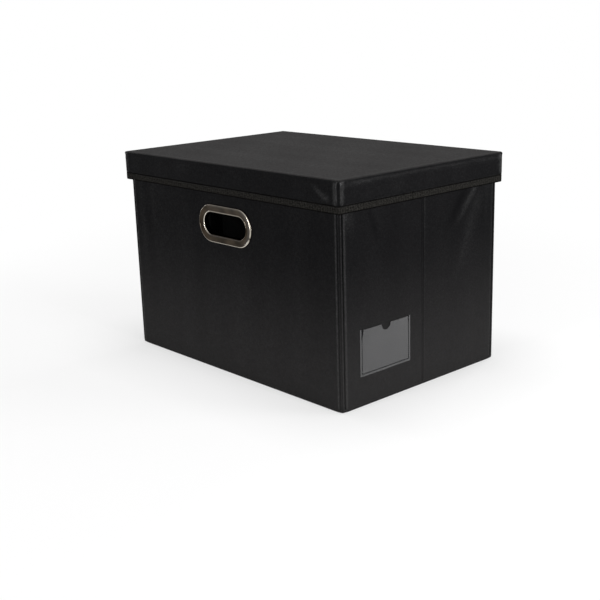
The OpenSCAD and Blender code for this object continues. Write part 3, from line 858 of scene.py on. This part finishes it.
for x, y, out_x, out_y, s in run:
    from_corner = math.hypot(lid_w / 2 - abs(x), lid_d / 2 - abs(y))
    wavy_out = 0.05 * math.sin(s / 13.7) + 0.03 * math.sin(s / 5.1 + 1) - 0.08
    wavy_out += 0.4 * swell(from_corner - 5.5, 2.6)      # pinched up where it turns the corner
    if x > lid_w / 2 - 3:     # the ends dip where they meet, and stand up on either side
        wavy_out += -0.62 * swell(y - joint_y, 0.8) + 0.25 * swell(abs(y - joint_y) - 1.9, 1.0)
    wavy_up = 0.14 * math.sin(s / 21.3 + 2)
    for o, z, across in tape_section:
        out = o + (1.0 if o > -0.27 else 0.3 if o > -1.0 else 0.0) * wavy_out
        points.append((x + out_x * out, y + out_y * out, rim_z + z + (wavy_up if z > 8.5 else 0.0)))
        uvs.append((s, across))
binding = piece("lid_binding_tape", points, tube(len(run), len(tape_section), closed=True), tape, uv=uvs,
                outwards=True)
rides(binding, "lid", "lid_binding")

# ---- Stitches ----
# Bonded black polyester thread: down both sides of each wall's corners, round the label pocket and
# along the binding. It is smoother and a little shinier than the leatherette that it sits in.
thread, tree = new_finish("Thread, bonded black polyester")
TWIST = 5.236 * MM            # a ply's turn is about 1 mm; drawn coarser, so that it shows
where = node(tree, "TexCoord").outputs["Object"]
twist = node(tree, "TexWave", {"Vector": where, "Scale": BANDS / TWIST, "Distortion": 2})
lay = node(tree, "MixRGB", [twist.outputs["Fac"], "#0a0a0b", "#161617"])
surface(tree, {"Base Color": lay, "Roughness": 0.55, "Specular IOR Level": 0.06})

stitching = bpy.data.node_groups.new("Row of stitches along a line", "GeometryNodeTree")
for label, kind in (("Line", "Geometry"), ("Pitch", "Float"), ("Stitch", "Float"), ("Thread", "Float"),
                    ("Seed", "Int"), ("Finish", "Material")):
    stitching.interface.new_socket(label, in_out="INPUT", socket_type="NodeSocket" + kind)
stitching.interface.new_socket("Stitches", in_out="OUTPUT", socket_type="NodeSocketGeometry")
given = node(stitching, "NodeGroupInput").outputs
curve = node(stitching, "GeometryNodeMeshToCurve", [given["Line"]])
holes = node(stitching, "GeometryNodeCurveToPoints", {"Curve": curve, "Length": given["Pitch"]},
             mode="LENGTH")
bead = node(stitching, "GeometryNodeMeshUVSphere", {"Segments": 6, "Rings": 4, "Radius": 0.5})
vary = node(stitching, "FunctionNodeRandomValue", {2: 0.9, 3: 1.06, "Seed": given["Seed"]})
long = node(stitching, "Math", [given["Stitch"], vary.outputs[1]], operation="MULTIPLY")
shape = node(stitching, "CombineXYZ", [given["Thread"], given["Thread"], long])
sewn = node(stitching, "GeometryNodeInstanceOnPoints", {
    "Points": holes, "Instance": bead, "Rotation": holes.outputs["Rotation"], "Scale": shape})
real = node(stitching, "GeometryNodeRealizeInstances", [sewn])
dressed = node(stitching, "GeometryNodeSetMaterial", {"Geometry": real, "Material": given["Finish"]})
node(stitching, "NodeGroupOutput", [dressed])
socket_of = {item.name: item.identifier for item in stitching.interface.items_tree if item.in_out == "INPUT"}


def stitched(name, lines, pitch, stitch, width, body, seed):
    """Rows of stitches along lines of points in millimetres, as one plain mesh on one body."""
    path = bpy.data.meshes.new(name + "_line")
    vertices, edges = [], []
    for line in lines:
        edges += [(len(vertices) + i, len(vertices) + i + 1) for i in range(len(line) - 1)]
        vertices += [Vector(p) * MM for p in line]
    path.from_pydata(vertices, edges, [])
    made = bpy.data.objects.new(name, path)
    bpy.context.scene.collection.objects.link(made)
    sewing = made.modifiers.new("Stitches", "NODES")
    sewing.node_group = stitching
    for label, value in (("Pitch", pitch * MM), ("Stitch", stitch * MM), ("Thread", width * MM),
                         ("Seed", seed), ("Finish", thread)):
        sewing[socket_of[label]] = value
    made.update_tag()
    bpy.context.view_layer.update()
    mesh = bpy.data.meshes.new_from_object(made.evaluated_get(bpy.context.evaluated_depsgraph_get()))
    mesh.name = name
    mesh.polygons.foreach_set("use_smooth", [True] * len(mesh.polygons))
    made.modifiers.remove(sewing)
    made.data = mesh
    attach(made, body)


row_in = 2.2                  # the corner rows run this far in from the wall's end
for side, place, seed in (("front", in_front_wall, 11), ("back", in_back_wall, 12)):
    upright_rows = [[place(u, 3.0, -0.2), place(u, wall_h - 3.0, -0.2)] for u in (row_in, body_w - row_in)]
    stitched(f"{side}_corner_stitches", upright_rows, 4.2, 3.1, 0.62, f"{side}_wall", seed)

seam_us = np.linspace(seam_in, pocket_w - seam_in, 20)
left_vs = np.linspace(pocket_h - 1.5, seam_in, 14)
seam = [(seam_in, v) for v in left_vs] + [(u, seam_in) for u in seam_us[1:-1]]
seam += [(pocket_w - seam_in, v) for v in left_vs[::-1]]
# Both ends of the seam are sewn back over themselves: a long tack at the left and a short one at the right.
# The long tack runs across the open slit at the top left, and its black thread there is painted shade,
# standing in for the shadow in the slit.
tacks = [[(u, v) for v in np.linspace(pocket_h - 0.6, pocket_h - reach, 5)]
         for u, reach in ((2.6, 10.5), (3.4, 9.0), (4.1, 6.0), (pocket_w - 2.7, 5.0), (pocket_w - 3.4, 4.0))]
pocket_rows = [[in_right_front(*on_pocket(u, v, above=0.02)) for u, v in row] for row in [seam] + tacks]
stitched("label_pocket_stitches", pocket_rows, 2.6, 2.35, 1.25, "right_front_leaf", 13)
row_z = rim_z + binding_h - 1.6
tape_row = [(x + out_x * 0.1, y + out_y * 0.1, row_z) for x, y, out_x, out_y, _ in rim_run(8.0)]
stitched("binding_stitches", [tape_row + tape_row[:1]], 4.0, 2.9, 0.55, "lid", 14)

# ---- Studio ----
# A white paper sweep, an even white surround that only eyes and reflections see at full strength,
# a soft lamp overhead, and five softboxes round the box that light its sides and edges.


def seen_white(tree):
    """1 for the rays that show the studio: straight from the camera, or by metal, gloss and film."""
    rays = node(tree, "LightPath").outputs
    seen = node(tree, "Math", [rays["Is Camera Ray"], rays["Is Glossy Ray"]], operation="MAXIMUM")
    return node(tree, "Math", [seen, rays["Is Transmission Ray"]], operation="MAXIMUM")


paper, tree = new_finish("Paper sweep, matt white")
where = node(tree, "TexCoord").outputs["Object"]
far = node(tree, "VectorMath", [where], operation="LENGTH").outputs["Value"]
lit = node(tree, "MapRange", [far, 0.35, 1.1, 0.52, 1.0])      # the box's shadow shows near it
share = node(tree, "Math", [seen_white(tree), lit], operation="MULTIPLY")
matt = node(tree, "BsdfDiffuse", ["#f4f4f4"])
white = node(tree, "Emission", ["#ffffff", 1.0])
node(tree, "OutputMaterial", [node(tree, "MixShader", [share, matt, white])])
half, under = 30.0, -0.0002   # a wide floor, just under the box
sweep = bpy.data.meshes.new("studio_floor")
sweep.from_pydata([(x * half, y * half, under) for x, y in ((-1, -1), (1, -1), (1, 1), (-1, 1))], [],
                  [(0, 1, 2, 3)])
sweep.materials.append(paper)
studio_floor = bpy.data.objects.new("studio_floor", sweep)
bpy.context.scene.collection.objects.link(studio_floor)

world = bpy.data.worlds.new("Studio surround")
bpy.context.scene.world = world
world.use_nodes = True
tree = world.node_tree
tree.nodes.clear()
fill, backdrop = [node(tree, "Background", ["#ffffff", strength]) for strength in (0.18, 1.0)]
node(tree, "OutputWorld", [node(tree, "MixShader", [seen_white(tree), fill, backdrop])])

for name, place, wide, tall, power in (("overhead softbox", (0.0, 0.0, 1.4), 0.7, 0.7, 8.0),
                                       ("right rear softbox", (1.3, 0.85, 0.5), 0.7, 0.6, 9.5),
                                       ("right strip softbox", (1.57, -0.12, 0.5), 0.3, 0.9, 15.0),
                                       ("front strip softbox", (0.1, -1.65, 0.5), 0.3, 0.9, 14.0),
                                       ("back strip softbox", (-0.15, 1.65, 0.5), 0.5, 0.8, 10.0),
                                       ("left strip softbox", (-1.6, -0.1, 0.5), 0.5, 0.8, 10.0)):
    lamp = bpy.data.lights.new(name, "AREA")
    lamp.shape, lamp.size, lamp.size_y, lamp.energy = "RECTANGLE", wide, tall, power
    softbox = bpy.data.objects.new(name, lamp)
    bpy.context.scene.collection.objects.link(softbox)
    facing = (Vector(place) - Vector((0, 0, 0.15))).to_track_quat("Z", "Y")      # at the box's middle
    softbox.matrix_world = Matrix.Translation(place) @ facing.to_matrix().to_4x4()

# The camera stands a little above the lid, off the near corner, and is rolled by a degree or two.
azimuth, down, roll = math.radians(48.143), math.radians(15.584), math.radians(-1.724)
ahead = Vector((-math.sin(azimuth) * math.cos(down), math.cos(azimuth) * math.cos(down), -math.sin(down)))
level = Vector((math.cos(azimuth), math.sin(azimuth), 0))
upright = level.cross(ahead)
rolled_x = math.cos(roll) * level + math.sin(roll) * upright
rolled_y = math.cos(roll) * upright - math.sin(roll) * level
camera = bpy.data.objects.new("camera", bpy.data.cameras.new("camera"))
bpy.context.scene.collection.objects.link(camera)
camera.data.sensor_width, camera.data.lens = 36.0, 61.857
camera.matrix_world = Matrix((rolled_x, rolled_y, -ahead)).transposed().to_4x4()
camera.matrix_world.translation = Vector((0.9782, -0.89396, 0.43868))
bpy.context.scene.camera = camera
bpy.context.scene.view_settings.view_transform = "Standard"
